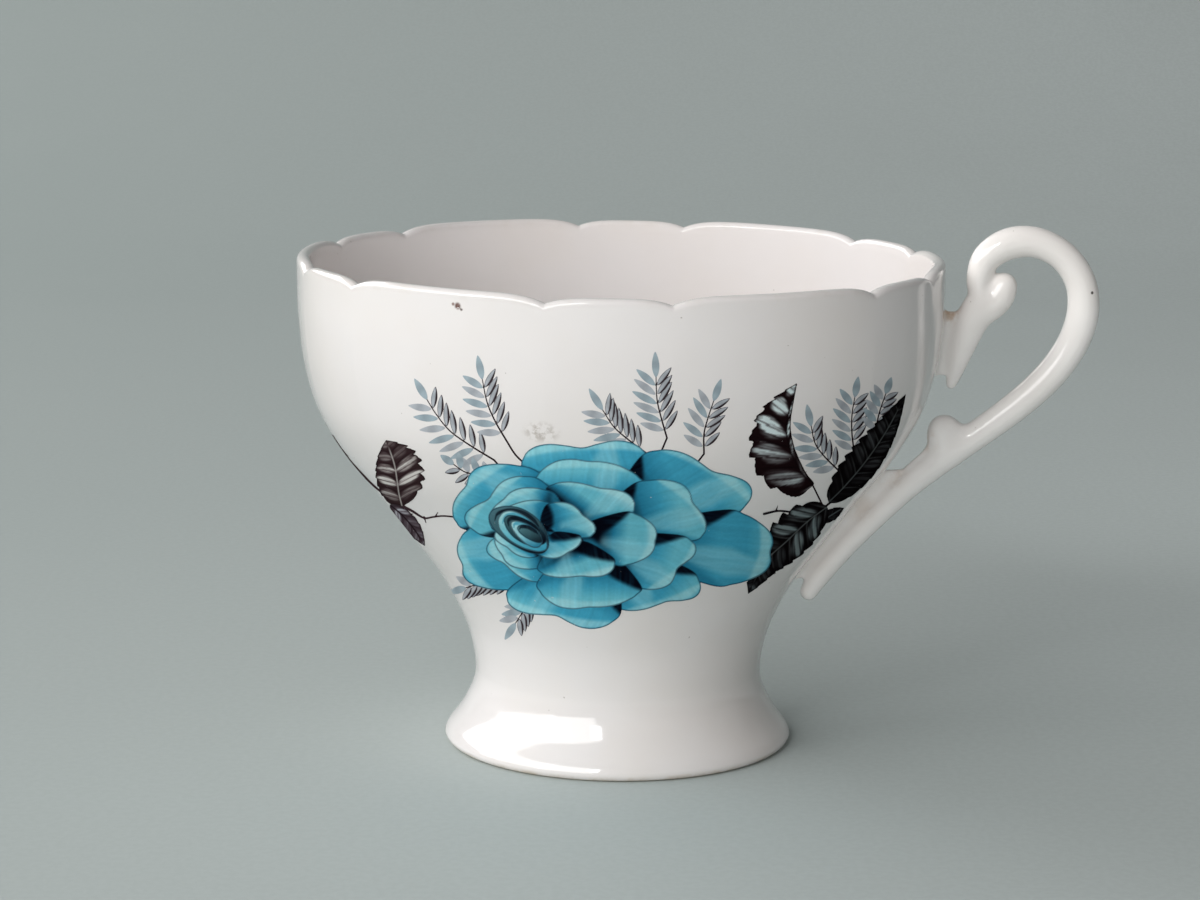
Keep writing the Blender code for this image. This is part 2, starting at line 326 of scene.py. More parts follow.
def foot_details(t, c):
    # bare ground ring underneath, a little soiled, with a warm line above it
    ring = t.ramp(t.height(), 0.00002, 0.00030, 1.0, 0.0)
    c = t.mix(ring, c, srgb(205, 190, 165))
    line = t.math("MULTIPLY", t.ramp(t.height(), 0.0003, 0.0010, 1.0, 0.0),
                  t.ramp(t.noise(260.0, 4.0, 0.6), 0.38, 0.66))
    return t.mix(t.math("MULTIPLY", line, 0.5), c, srgb(190, 170, 140))


def handle_details(t, c):
    # warm brown in the joins between handle and wall: painted shade in the joins, with some tea and age stain
    for place, inner, outer, amount, stretch in (
            ((45.9, 0, 61.6), 0.5, 2.2, 0.75, (1, 0.5, 0.8)),
            ((38.2, -1.2, 38.4), 0.6, 3.0, 0.3, (1, 0.6, 1)),
            ((34.0, -1.0, 33.5), 0.6, 2.8, 0.22, (1, 0.6, 1)),
            ((43.2, 0, 50.8), 0.4, 2.0, 0.4, (1, 0.6, 1)),
            ((42.8, -0.5, 43.2), 0.5, 2.4, 0.4, (1, 0.6, 1))):
        m = t.math("MULTIPLY", t.near(place, inner, outer, stretch),
                   t.ramp(t.noise(520.0, 4.0, 0.6), 0.34, 0.62))
        c = t.mix(t.math("MULTIPLY", m, amount), c, srgb(184, 146, 108))
    dot = t.near((65.35, -1.83, 64.4), 0.16, 0.28)
    c = t.mix(t.math("MULTIPLY", dot, 0.9), c, srgb(60, 48, 44))
    return c


# ---------------------------------------------------------------- bowl and foot
def build_bowl():
    th, lift, near = lobe_columns(14, 24)
    n = len(th)
    sag = -RIM_SAG * np.sin(np.radians(th)) * 0.5
    rim = RIM_Z + lift + sag
    rows = []

    def wall(nz, inset):
        grow = step(48.0, 66.0, nz)
        z = nz + grow * (rim - RIM_Z)
        r = float(bowl_r(nz))
        dr = float(bowl_r(nz + 0.2) - bowl_r(nz - 0.2)) / 0.4
        s = math.hypot(1.0, dr)
        rows.append(around(th, r - inset / s, z + inset * dr / s))

    plug = SOCKET_R - 0.02
    for r, z in ((0.2, 8.5), (0.5, 8.52), (0.8, 8.7), (0.95, 9.2), (1.0, 9.9), (1.0, JOINT_Z)):
        rows.append(around(th, plug * r, z))
    for r in (0.35, 0.7):
        rows.append(around(th, plug + (WAIST_R - INSET - plug) * r, JOINT_Z))
    zs = [JOINT_Z, 10.43, 10.55, 10.8, 11.2] + list(np.arange(11.7, 66.0, 0.7)) + [66.0, 66.5, 66.9]
    for z in zs:
        wall(z, 0.0)
    # rounded lip, an even curve from the outside over the top
    for deg in (8, 20, 33, 47, 62, 77, 92, 108, 124, 140, 156, 170):
        a = math.radians(deg)
        half = WALL_RIM / 2
        out = half * (1 - math.cos(a))
        drop = 0.95 * (1 - math.sin(a) ** 0.8)
        rows.append(around(th, RIM_R - INSET - out, rim - drop))
    inner = [66.3, 65.7] + list(np.arange(64.8, 16.4, -0.9)) + [16.5]
    for z in inner:
        k = (z - 16.5) / (66.0 - 16.5)
        wall(z, WALL_BASE + (WALL_RIM - WALL_BASE) * min(k * 1.6, 1.0) - INSET)
    for deg in np.arange(76, 4, -5.5):
        a = math.radians(deg)
        rows.append(around(th, FLOOR_R * math.sin(a), FLOOR_Z + 4.6 * (1 - math.cos(a))))
    verts = np.concatenate(rows)
    faces = tube_faces(len(rows), n)
    verts = np.vstack([verts, [[0, 0, UNDERSIDE_Z], [0, 0, FLOOR_Z]]])
    a, b = len(verts) - 2, len(verts) - 1
    last = (len(rows) - 1) * n
    for i in range(n):
        j = (i + 1) % n
        faces.append((j, i, a))
        faces.append((last + i, last + j, b))
    ob = mesh_object("glazed_bowl", verts, faces, [china("bowl_china", bowl_details)], sharp=50)
    fix_normals(ob)
    return ob


def build_foot():
    n = 216
    th = np.arange(n) * 360.0 / n
    pts = [(CONTACT_IN_R, 0.0), (22.4, 0.0), (23.1, 0.0), (CONTACT_OUT_R - INSET, 0.0),
           (24.1 - INSET, 0.08), (24.35 - INSET, 0.25), (24.56 - INSET, 0.55)]
    pts += [(float(foot_r(z)), z) for z in
            [1.0, 1.3, 1.6, 2.0, 2.4] + list(np.arange(2.9, 9.9, 0.5)) + [10.0, 10.2, 10.28, JOINT_Z]]
    pts += [(19.2, JOINT_Z), (18.0, JOINT_Z), (SOCKET_R, JOINT_Z), (SOCKET_R, 9.6),
            (17.0, 8.6), (17.35, 7.4), (17.8, 6.2), (18.5, 4.9), (19.3, 3.6), (20.1, 2.4),
            (20.7, 1.4), (21.2, 0.6), (21.45, 0.2)]
    verts = np.concatenate([around(th, r, z) for r, z in pts])
    ob = mesh_object("glazed_foot", verts, tube_faces(len(pts), n, True),
                     [china("foot_china", foot_details)], sharp=50)
    fix_normals(ob)
    return ob


# ---------------------------------------------------------------- handle
SCROLL = [
    (27.0, 21.2, 1.3, 1.5), (28.35, 23.45, 1.65, 1.9), (30.45, 26.05, 1.7, 2.0),
    (32.85, 28.75, 1.7, 2.05), (35.35, 31.35, 1.75, 2.05), (37.95, 33.95, 1.8, 2.1),
    (40.65, 36.65, 1.95, 2.15), (44.3, 39.7, 2.1, 2.2), (48.0, 42.4, 2.1, 2.2),
    (51.6, 45.0, 2.1, 2.2), (55.0, 47.6, 2.15, 2.2), (58.4, 50.6, 2.2, 2.2),
    (61.3, 53.9, 2.25, 2.2), (63.5, 57.7, 2.3, 2.2), (64.5, 61.8, 2.3, 2.2),
    (63.9, 65.8, 2.2, 2.2), (61.5, 69.2, 2.15, 2.2), (57.8, 71.1, 2.2, 2.2),
    (54.0, 70.95, 2.3, 2.2), (50.95, 69.05, 2.1, 2.15), (49.8, 66.2, 1.75, 2.0),
    (49.95, 63.7, 1.7, 2.0), (49.35, 61.6, 2.05, 2.1), (48.75, 59.7, 2.4, 2.15),
    (48.0, 57.5, 2.15, 1.95), (47.3, 55.1, 1.75, 1.7), (46.8, 52.9, 1.25, 1.35),
    (46.4, 51.2, 0.8, 0.9),
]
BUD = [
    (49.6, 60.6, 1.7, 1.8), (51.4, 62.1, 2.2, 2.2), (52.7, 63.6, 2.25, 2.35),
    (53.3, 65.0, 1.95, 2.1),
]
THUMB = [
    (45.9, 42.2, 2.1, 2.0), (45.6, 43.4, 2.45, 2.2), (45.6, 44.4, 2.4, 2.2),
]
UPPER_WEB = [(43.0, 61.6), (48.6, 61.2), (48.0, 56.5), (46.8, 52.6), (42.0, 52.2)]
LOWER_WEB = [(34.0, 38.6), (40.0, 38.9), (44.2, 43.0), (44.4, 39.6), (36.0, 32.0),
             (28.6, 24.4), (27.8, 23.2), (22.0, 23.0), (22.0, 26.0)]


def curve(points, n):
    """Catmull-Rom curve through points, n steps per span."""
    p = np.asarray(points, float)
    p = np.vstack([p[:1], p, p[-1:]])
    t = (np.arange(n) / n)[:, None]
    out = []
    for i in range(1, len(p) - 2):
        a, b, c, d = p[i - 1], p[i], p[i + 1], p[i + 2]
        out.append(0.5 * (2 * b + (c - a) * t + (2 * a - 5 * b + 4 * c - d) * t ** 2
                          + (3 * b - a - 3 * c + d) * t ** 3))
    out.append(p[-1:])
    return np.vstack(out)


def rod_field(P, stations, n=5, shrink=0.05):
    """Distance to a rod of varying oval section in the XZ plane."""
    s = curve(stations, n)
    best = np.full(len(P), 1e9)
    for a, b in zip(s[:-1], s[1:]):
        ax, az, dx, dz = a[0], a[1], b[0] - a[0], b[1] - a[1]
        L = dx * dx + dz * dz
        t = np.clip(((P[:, 0] - ax) * dx + (P[:, 2] - az) * dz) / L, 0, 1)
        w = a[2] + t * (b[2] - a[2])
        k = w / (a[3] + t * (b[3] - a[3]))
        d = np.sqrt((P[:, 0] - ax - t * dx) ** 2 + (P[:, 2] - az - t * dz) ** 2 + (P[:, 1] * k) ** 2) - w
        np.minimum(best, d, out=best)
    return best + shrink


def polygon_field(P, outline, half):
    q = P[:, [0, 2]]
    o = np.asarray(outline, float)
    d = np.full(len(q), 1e9)
    inside = np.zeros(len(q), bool)
    for a, b in zip(o, np.roll(o, -1, 0)):
        e = b - a
        w = q - a
        t = np.clip((w @ e) / (e @ e), 0, 1)
        d = np.minimum(d, np.hypot(*(w - t[:, None] * e).T))
        cross = ((a[1] <= q[:, 1]) != (b[1] <= q[:, 1]))
        with np.errstate(divide="ignore", invalid="ignore"):
            x = a[0] + (q[:, 1] - a[1]) / (b[1] - a[1]) * (b[0] - a[0])
        inside ^= cross & (q[:, 0] < x)
    d2 = np.where(inside, -d, d)
    dy = np.abs(P[:, 1]) - half
    return np.minimum(np.maximum(d2, dy), 0) + np.hypot(np.maximum(d2, 0), np.maximum(dy, 0))


def blend_min(a, b, k):
    h = np.maximum(k - np.abs(a - b), 0) / k
    return np.minimum(a, b) - h * h * k / 4


def wall_field(P):
    z = P[:, 2]
    R = outer_r(z)
    slope = (outer_r(z + 0.1) - outer_r(z - 0.1)) / 0.2
    return (np.hypot(P[:, 0], P[:, 1]) - R) / np.sqrt(1 + slope ** 2)


def handle_field(P):
    rod = rod_field(P, SCROLL)
    bud = rod_field(P, BUD, 6)
    thumb = rod_field(P, THUMB, 4)
    f = blend_min(rod, bud, 1.1)
    f = blend_min(f, thumb, 1.6)
    f = blend_min(f, polygon_field(P, UPPER_WEB, 0.5), 0.6)
    f = blend_min(f, polygon_field(P, LOWER_WEB, 0.5), 0.6)
    w = wall_field(P)
    k = 1.0
    joined = blend_min(f, w, k)
    return np.maximum(np.maximum(joined, f - (k - 0.3)), -(w + 0.45))


def surface_nets(F, origin, h):
    """Quads over the zero level of a grid of values."""
    s = F < 0
    nx, ny, nz = F.shape
    corner = [s[i:nx - 1 + i, j:ny - 1 + j, k:nz - 1 + k] for i in (0, 1) for j in (0, 1) for k in (0, 1)]
    count = sum(c.astype(np.int8) for c in corner)
    active = (count > 0) & (count < 8)
    idx = -np.ones(active.shape, np.int64)
    cells = np.argwhere(active)
    idx[tuple(cells.T)] = np.arange(len(cells))
    total = np.zeros((len(cells), 3))
    num = np.zeros(len(cells))
    corners = np.array([(i, j, k) for i in (0, 1) for j in (0, 1) for k in (0, 1)])
    for a in range(8):
        for b in range(a + 1, 8):
            if np.abs(corners[a] - corners[b]).sum() != 1:
                continue
            fa = F[tuple((cells + corners[a]).T)]
            fb = F[tuple((cells + corners[b]).T)]
            m = (fa < 0) != (fb < 0)
            t = np.where(m, fa / np.where(m, fa - fb, 1), 0)
            total += np.where(m[:, None], corners[a] + t[:, None] * (corners[b] - corners[a]), 0)
            num += m
    verts = origin + h * (cells + total / num[:, None])
    quads = []
    for axis in range(3):
        u, v = [a for a in range(3) if a != axis]
        lo = [slice(None)] * 3
        hi = [slice(None)] * 3
        lo[axis], hi[axis] = slice(0, F.shape[axis] - 1), slice(1, F.shape[axis])
        m = s[tuple(lo)] != s[tuple(hi)]
        e = np.argwhere(m)
        e = e[(e[:, u] > 0) & (e[:, v] > 0) & (e[:, u] < F.shape[u] - 1) & (e[:, v] < F.shape[v] - 1)]
        du = np.zeros(3, int); du[u] = 1
        dv = np.zeros(3, int); dv[v] = 1
        q = np.stack([idx[tuple((e - du - dv).T)], idx[tuple((e - dv).T)], idx[tuple(e.T)],
                      idx[tuple((e - du).T)]], 1)
        flip = s[tuple(e.T)] ^ (axis == 1)
        q[~flip] = q[~flip][:, ::-1]
        quads.append(q)
    return verts, np.vstack(quads)


def build_handle():
    h = 0.30
    lo = np.array([20.0, -6.0, 16.5])
    hi = np.array([68.4, 6.0, 75.0])
    n = np.ceil((hi - lo) / h).astype(int) + 1
    n = (n // 4 + 1) * 4 + 1
    axes = [lo[i] + h * np.arange(n[i]) for i in range(3)]
    ca = [a[::4] for a in axes]
    G = np.stack(np.meshgrid(*ca, indexing="ij"), -1).reshape(-1, 3)
    coarse = handle_field(G).reshape([len(a) for a in ca])
    # fine values only where the surface can be
    F = coarse
    for ax in range(3):
        F = np.repeat(F, 4, axis=ax)
        F = np.take(F, range(n[ax]), axis=ax)
    low = coarse
    near = np.abs(low) < 4 * h * 1.9
    for ax in range(3):
        near = near | np.roll(near, 1, ax) | np.roll(near, -1, ax)
    for ax in range(3):
        near = np.take(np.repeat(near, 4, axis=ax), range(n[ax]), axis=ax)
    at = np.argwhere(near)
    P = lo + h * at
    F[tuple(at.T)] = handle_field(P)
    V, Q = surface_nets(F, lo, h)
    # settle the vertices on the surface
    for _ in range(3):
        e = 0.02
        f = handle_field(V)
        g = np.stack([handle_field(V + d) - handle_field(V - d) for d in np.eye(3) * e], 1) / (2 * e)
        g2 = np.maximum((g ** 2).sum(1), 0.3)
        V = V - np.clip(f / g2, -0.25, 0.25)[:, None] * g
    # the handle's china uses the brighter white, painted light that makes it read as more brightly lit than the bowl
    ob = mesh_object("glazed_handle", V, Q.tolist(), [china("handle_china", handle_details, HANDLE_WHITE_LIT)], sharp=None)
    fix_normals(ob)
    sm = ob.modifiers.new("settle", "SMOOTH")
    sm.factor, sm.iterations = 0.4, 2
    return ob


bowl = build_bowl()
foot = build_foot()
handle = build_handle()
for ob, node, slot in ((bowl, "bowl", "bowl_glaze"), (foot, "foot", "foot_glaze"),
                       (handle, "handle", "handle_glaze")):
    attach(ob, "root")
    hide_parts(node)


# ---------------------------------------------------------------- transfer print
# A generic rose spray. It is drawn on a flat sheet (units of 0.139 mm, y downwards) and laid
# on the wall along straight lines from one point in front of the cup, as a fine net of
# coloured vertices whose edge is cut to the drawing.
UNIT = 0.139
EYE = np.array([0.0, -440.0, 123.3])
LOOK = np.array([-0.00616412, 0.9830592, -0.18318464])
SIDE = np.array([0.99994739, 0.0075616, 0.00693131])
RISE = np.array([-0.00819906, 0.18313228, 0.98305409])


def to_sheet(P, theta, z):
    d = P - EYE
    depth = d @ LOOK
    return 600 + 3179.73 * (d @ SIDE) / depth, 450 - 3179.73 * (d @ RISE) / depth


_Z = np.linspace(JOINT_Z, 67.0, 1400)
_S = np.concatenate([[0.0], np.cumsum(np.hypot(np.diff(_Z), np.diff(bowl_r(_Z))))])


def to_girth(P, theta, z):
    """Sheet for the part of the branch that runs round the left side of the cup."""
    s = np.interp(z, _Z, _S) - np.interp(46.0, _Z, _S)
    return (theta + 100.0) * math.radians(42.0) / UNIT, -s / UNIT


def lobe_lift(theta):
    pitch = 360.0 / LOBE_PAIRS
    q = np.mod(theta - LOBE_START + NARROW_HALF, pitch)
    n = q < 2 * NARROW_HALF
    u = np.where(n, q / (2 * NARROW_HALF), (q - 2 * NARROW_HALF) / (pitch - 2 * NARROW_HALF))
    away = np.abs(2 * u - 1)
    return np.where(n, NARROW_RISE * (1 - away ** NARROW_SHAPE), WIDE_RISE * (1 - away ** WIDE_SHAPE))


def on_wall(theta, z, lift):
    r = bowl_r(z)
    dr = (bowl_r(z + 0.2) - bowl_r(z - 0.2)) / 0.4
    s = np.hypot(1.0, dr)
    up = step(48.0, 66.0, z) * (lobe_lift(theta) - RIM_SAG * np.sin(np.radians(theta)) * 0.5)
    return around(theta, r + lift / s, z + up - lift * dr / s)


# -- drawing tools
def smooth(points, closed=False, n=6):
    p = np.asarray(points, float)
    if closed:
        q = np.vstack([p[-1:], p, p[:2]])
    else:
        q = np.vstack([2 * p[0] - p[1], p, 2 * p[-1] - p[-2]])
    t = (np.arange(n) / n)[:, None]
    out = []
    for i in range(1, len(q) - 2):
        a, b, c, d = q[i - 1], q[i], q[i + 1], q[i + 2]
        out.append(0.5 * (2 * b + (c - a) * t + (2 * a - 5 * b + 4 * c - d) * t ** 2
                          + (3 * b - a - 3 * c + d) * t ** 3))
    if not closed:
        out.append(p[-1:])
    return np.vstack(out)


def line_distance(X, Y, line, reach=40.0):
    """Distance to an open line, how far along it (0..1), and the side (+1 to its right)."""
    d = np.full(X.shape, 1e6)
    at = np.zeros(X.shape)
    side = np.ones(X.shape)
    m = ((X > line[:, 0].min() - reach) & (X < line[:, 0].max() + reach)
         & (Y > line[:, 1].min() - reach) & (Y < line[:, 1].max() + reach))
    x, y = X[m], Y[m]
    if not len(x):
        return d, at, side
    length = np.concatenate([[0], np.cumsum(np.hypot(*np.diff(line, axis=0).T))])
    dd, aa, ss = np.full(x.shape, 1e6), np.zeros(x.shape), np.ones(x.shape)
    for i in range(len(line) - 1):
        ax, ay = line[i]
        ex, ey = line[i + 1] - line[i]
        L = ex * ex + ey * ey + 1e-12
        t = np.clip(((x - ax) * ex + (y - ay) * ey) / L, 0, 1)
        e = np.hypot(x - ax - t * ex, y - ay - t * ey)
        k = e < dd
        dd[k] = e[k]
        aa[k] = (length[i] + t * math.sqrt(L))[k] / length[-1]
        ss[k] = np.sign(ex * (y - ay) - ey * (x - ax) + 1e-12)[k]
    d[m], at[m], side[m] = dd, aa, ss
    return d, at, side


def shape_distance(X, Y, outline, reach=14.0):
    """Signed distance to a closed outline, negative inside."""
    o = np.vstack([outline, outline[:1]])
    m = ((X > o[:, 0].min() - reach) & (X < o[:, 0].max() + reach)
         & (Y > o[:, 1].min() - reach) & (Y < o[:, 1].max() + reach))
    d = np.full(X.shape, 1e3)
    x, y = X[m], Y[m]
    if not len(x):
        return d
    dd = np.full(x.shape, 1e6)
    inside = np.zeros(x.shape, bool)
    for (ax, ay), (bx, by) in zip(o[:-1], o[1:]):
        ex, ey = bx - ax, by - ay
        L = ex * ex + ey * ey + 1e-12
        t = np.clip(((x - ax) * ex + (y - ay) * ey) / L, 0, 1)
        np.minimum(dd, (x - ax - t * ex) ** 2 + (y - ay - t * ey) ** 2, out=dd)
        if ay != by:
            inside ^= ((ay > y) != (by > y)) & (x < ax + (y - ay) / (by - ay) * ex)
    d[m] = np.where(inside, -1, 1) * np.sqrt(dd)
    return d


def blur(x):
    x = np.clip(x, 0, 1)
    return x * x * (3 - 2 * x)


def streak(X, Y, angle, seed):
    """Fine brush marks running along an angle, about -1..1."""
    rng = np.random.default_rng(seed)
    c, s = math.cos(math.radians(angle)), math.sin(math.radians(angle))
    u, v = X * c + Y * s, -X * s + Y * c
    v = v + 1.6 * np.sin(u * 0.055 + rng.uniform(0, 6)) + 0.6 * np.sin(u * 0.16 + rng.uniform(0, 6))
    out = 0
    for f, a in ((0.33, 0.9), (0.61, 0.8), (0.97, 0.7), (1.5, 0.55), (2.2, 0.35)):
        f *= rng.uniform(0.85, 1.15)
        out = out + a * np.sin(v * f + rng.uniform(0, 6) + 1.3 * np.sin(u * 0.07 * f + rng.uniform(0, 6)))
    return out / 1.9


class Drawing:
    """Colours laid over each other at the points X, Y of the sheet."""

    def __init__(self, X, Y):
        self.X, self.Y = X, Y
        self.field = np.full(X.shape, -1e3)
        self.nearest = np.full(X.shape, 1e3)
        self.col = np.zeros(X.shape + (3,))

    def lay(self, field, colour, soft=0.45):
        """Lay a colour where field > 0 (sheet units from its edge)."""
        colour = np.broadcast_to(np.asarray(colour, float), self.col.shape)
        k = (-field < self.nearest) & (self.field < 0)
        self.col[k] = colour[k]
        self.nearest = np.minimum(self.nearest, -field)
        a = blur(field / (2 * soft) + 0.5)[..., None]
        self.col = self.col * (1 - a) + colour * a
        self.field = np.maximum(self.field, field)

    def petal(self, outline, grad, strokes=(), edge=None, grain=(0, 5.0), line=0.5, seed=1, inside=None,
              tone=(14, 26, 40)):
        """One petal: a gradient, soft brush strokes, a tinted inner edge, an ink outline."""
        X, Y = self.X, self.Y
        sd = shape_distance(X, Y, smooth(outline, True))
        if sd.min() > 8:
            return
        (x0, y0), (x1, y1), *cols = grad
        ex, ey = x1 - x0, y1 - y0
        t = np.clip(((X - x0) * ex + (Y - y0) * ey) / (ex * ex + ey * ey), 0, 1)
        stops = np.linspace(0, 1, len(cols))
        c = np.stack([np.interp(t, stops, [q[i] for q in cols]) for i in range(3)], -1)
        if edge:
            width, ink, amount = edge
            a = amount * blur(1 + sd / width)[..., None]
            c = c * (1 - a) + np.array(ink, float) * a
        for pts, half, soft, ink, amount in strokes:
            d, at, _ = line_distance(X, Y, smooth(pts), half if np.isscalar(half) else max(half) + soft + 2)
            w = half if np.isscalar(half) else np.interp(at, np.linspace(0, 1, len(half)), half)
            ends = np.clip(np.minimum(at, 1 - at) / 0.16, 0, 1) if np.isscalar(half) or max(half) < 2.6 else 1.0
            a = amount * blur(1 - (d - w * ends) / (soft * (0.35 + 0.65 * ends)))
            a = (a * (1 + 0.10 * streak(X, Y, grain[0], seed + 9))).clip(0, 1)[..., None]
            c = c * (1 - a) + np.array(ink, float) * a
        c = c * (1 + grain[1] / 200 * streak(X, Y, grain[0], seed))[..., None]
        c = np.minimum(c * np.array((1.0, 1.025, 1.035)), 244)
        if line:
            a = 0.66 * line * blur(1 - (np.abs(sd + 0.35) - 0.35) / 0.9)[..., None]
            c = c * (1 - a) + np.array(tone, float) * a
        self.lay(-sd, c)

    def ink(self, points, half, colour, soft=0.5, amount=1.0, cover=True):
        """A drawn line; with cover False it only tints what lies under it."""
        d, at, _ = line_distance(self.X, self.Y, smooth(points), 8.0)
        w = half if np.isscalar(half) else np.interp(at, np.linspace(0, 1, len(half)), half)
        if cover:
            self.lay(w - d, colour, soft)
        else:
            a = amount * blur(1 - (d - w) / soft)[..., None]
            self.col = self.col * (1 - a) + np.array(colour, float) * a

    def leaf(self, rib, width, teeth, dark, patch, patchy, vein, rise=0.42, seed=3, sides=(1.0, 1.0),
             bite=0.16, slant=0.55, ribs=None, blunt=1.9, pairs=None):
        """A toothed leaf along its rib: side veins, light hatching between them, a dark margin."""
        X, Y = self.X, self.Y
        ribline = smooth(rib)
        d, at, side = line_distance(X, Y, ribline, width * 1.8)
        if d.min() > 50:
            return
        # half-width: full at `rise`, pointed at the tip
        prof = np.where(at < rise, np.sqrt(np.clip(1 - ((rise - at) / rise) ** 2, 0, 1)) ** 1.1,
                        np.clip(1 - ((at - rise) / (1 - rise)) ** blunt, 0, 1))
        w = width * np.where(side > 0, sides[0], sides[1])
        q = d / w
        ph = at * teeth - slant * q * 1.2
        saw = ph - np.floor(ph)
        bite = np.where(side > 0, *(bite if isinstance(bite, tuple) else (bite, bite)))
        hw = w * prof * (1 - bite * saw ** 1.3 + bite * 0.35)
        field = hw - d
        rel = d / np.maximum(hw, 0.5)
        c = np.broadcast_to(np.array(dark, float), X.shape + (3,)).copy()
        # light lenses between the side veins, hatched along them
        ph2 = at * (pairs or teeth * 0.62) - slant * 1.35 * q ** 0.8
        cell = ph2 - np.floor(ph2)
        rng = np.random.default_rng(seed)
        table = rng.uniform(0.45, 1.0, (2, 64))
        shift = rng.uniform(0, 1, (2, 64))
        k = np.clip(np.floor(ph2).astype(int) + 8, 0, 63)
        strength = np.where(side > 0, table[0][k], table[1][k])
        turn = np.where(side > 0, shift[0][k], shift[1][k])
        lens = 0.50 * np.sin(np.pi * np.clip((rel + 0.04) / 1.06, 0, 1)) ** 0.6
        body = blur((lens - np.abs(cell - 0.58)) / 0.34)
        hatch = (0.66 + 0.30 * np.sin(2 * np.pi * (cell * 3.0 + turn + 0.3 * rel))
                 + 0.16 * np.sin(2 * np.pi * (cell * 7.3 + 2 * turn)))
        strength = strength * (0.72 + 0.40 * np.sin(at * 7.0 + seed))
        a = (patchy * body * strength * hatch).clip(0, 1)[..., None]
        c = c * (1 - a) + np.array(patch, float) * a
        # side veins and midrib
        v = blur(1 - np.abs(cell - 0.02) / 0.06) + blur(1 - np.abs(cell - 1.0) / 0.06)
        a = (0.6 * np.clip(v, 0, 1) * blur(1.25 - rel))[..., None]
        c = c * (1 - a) + np.array(vein, float) * a
        r2 = ribs if ribs is not None else vein
        a = (0.85 * blur(1 - (d - 0.25) / 0.8) * blur((0.95 - at) * 6))[..., None]
        c = c * (1 - a) + np.array(r2, float) * a
        # margin
        a = (0.75 * blur(1 - field / 1.8))[..., None]
        c = c * (1 - a) + np.array(dark, float) * 0.6 * a
        self.lay(field, c, 0.4)

    def leaflet(self, base, tip, half, fill, outline=None):
        """A small lens-shaped blade of a frond; outline inks one side of it."""
        b, t = np.array(base, float), np.array(tip, float)
        e = t - b
        L = np.hypot(*e)
        e /= L
        x, y = self.X - b[0], self.Y - b[1]
        a = (x * e[0] + y * e[1]) / L
        s = -x * e[1] + y * e[0]
        hw = half * np.sin(np.pi * np.clip(a, 0, 1) ** 0.85) ** 0.75
        field = hw - np.abs(s)
        field = np.where((a > 0) & (a < 1), field, -np.hypot(np.maximum(np.maximum(-a, a - 1), 0) * L, np.abs(s)))
        c = np.broadcast_to(np.array(fill, float), self.X.shape + (3,)).copy()
        c = c * (1 + 0.05 * np.sin(a * 9)[..., None])
        if outline is not None:
            ink, flip = outline
            k = blur((s * flip / np.maximum(hw, 0.3) - 0.2) / 0.35) * 0.97
            k = np.maximum(k, 0.55 * blur(1 - (field - 0.1) / 0.7))[..., None]
            c = c * (1 - k) + np.array(ink, float) * k
        self.lay(field, c, 0.35)


def lay_print(name, region, draw, h, lift, mapping=to_sheet, theta=(-84.0, 84.0), heights=(12.0, 66.5)):
    """The net of one drawing over a region (x0, y0, x1, y1) of the sheet."""
    T, Z = np.meshgrid(np.arange(theta[0], theta[1] + 0.01, 0.75), np.arange(heights[0], heights[1], 0.5))
    X, Y = mapping(on_wall(T, Z, lift), T, Z)
    m = (X > region[0] - 2) & (X < region[2] + 2) & (Y > region[1] - 2) & (Y < region[3] + 2)
    t0, t1 = max(T[m].min() - 0.8, theta[0]), min(T[m].max() + 0.8, theta[1])
    z0, z1 = max(Z[m].min() - 0.5, heights[0]), min(Z[m].max() + 0.5, heights[1])
    nt = int(math.radians(t1 - t0) * float(bowl_r((z0 + z1) / 2)) / h) + 1
    s0, s1 = np.interp([z0, z1], _Z, _S)
    nz = int((s1 - s0) / h) + 1
    T, Z = np.meshgrid(np.linspace(t0, t1, nt + 1), np.interp(np.linspace(s0, s1, nz + 1), _S, _Z))
    P = on_wall(T, Z, lift)
    X, Y = mapping(P, T, Z)
    d = draw(X.ravel(), Y.ravel())
    F = d.field.reshape(X.shape)
    C = d.col.reshape(X.shape + (3,))
    F = np.where(np.abs(F) < 1e-4, 1e-4, F)
    rows, cols = F.shape
    inside = F > 0
    index = -np.ones(F.shape, int)
    at = np.argwhere(inside)
    index[inside] = np.arange(len(at))
    verts = [P[inside]]
    colours = [C[inside]]
    n_in = len(at)
    i00, i01, i11, i10 = index[:-1, :-1], index[:-1, 1:], index[1:, 1:], index[1:, :-1]
    count = inside[:-1, :-1].astype(int) + inside[:-1, 1:] + inside[1:, 1:] + inside[1:, :-1]
    full = count == 4
    faces = np.stack([i00[full], i01[full], i11[full], i10[full]], 1).tolist()
    edge_id, ends = {}, []

    def cut(a, b):
        key = (a, b) if a < b else (b, a)
        if key not in edge_id:
            edge_id[key] = n_in + len(ends)
            ends.append(key)
        return edge_id[key]

    for r, c in np.argwhere((count > 0) & (count < 4)):
        ring = [(r, c), (r, c + 1), (r + 1, c + 1), (r + 1, c)]
        poly = []
        for k in range(4):
            a, b = ring[k], ring[(k + 1) % 4]
            if inside[a]:
                poly.append(int(index[a]))
            if inside[a] != inside[b]:
                poly.append(cut(a[0] * cols + a[1], b[0] * cols + b[1]))
        if len(poly) > 2:
            faces.append(poly)
    if ends:
        e = np.array(ends)
        fa, fb = F.ravel()[e[:, 0]], F.ravel()[e[:, 1]]
        t = np.clip(fa / (fa - fb), 0.03, 0.97)[:, None]
        Pf, Cf = P.reshape(-1, 3), C.reshape(-1, 3)
        verts.append(Pf[e[:, 0]] * (1 - t) + Pf[e[:, 1]] * t)
        colours.append(Cf[e[:, 0]] * (1 - t) + Cf[e[:, 1]] * t)
    return np.vstack(verts), faces, np.vstack(colours)


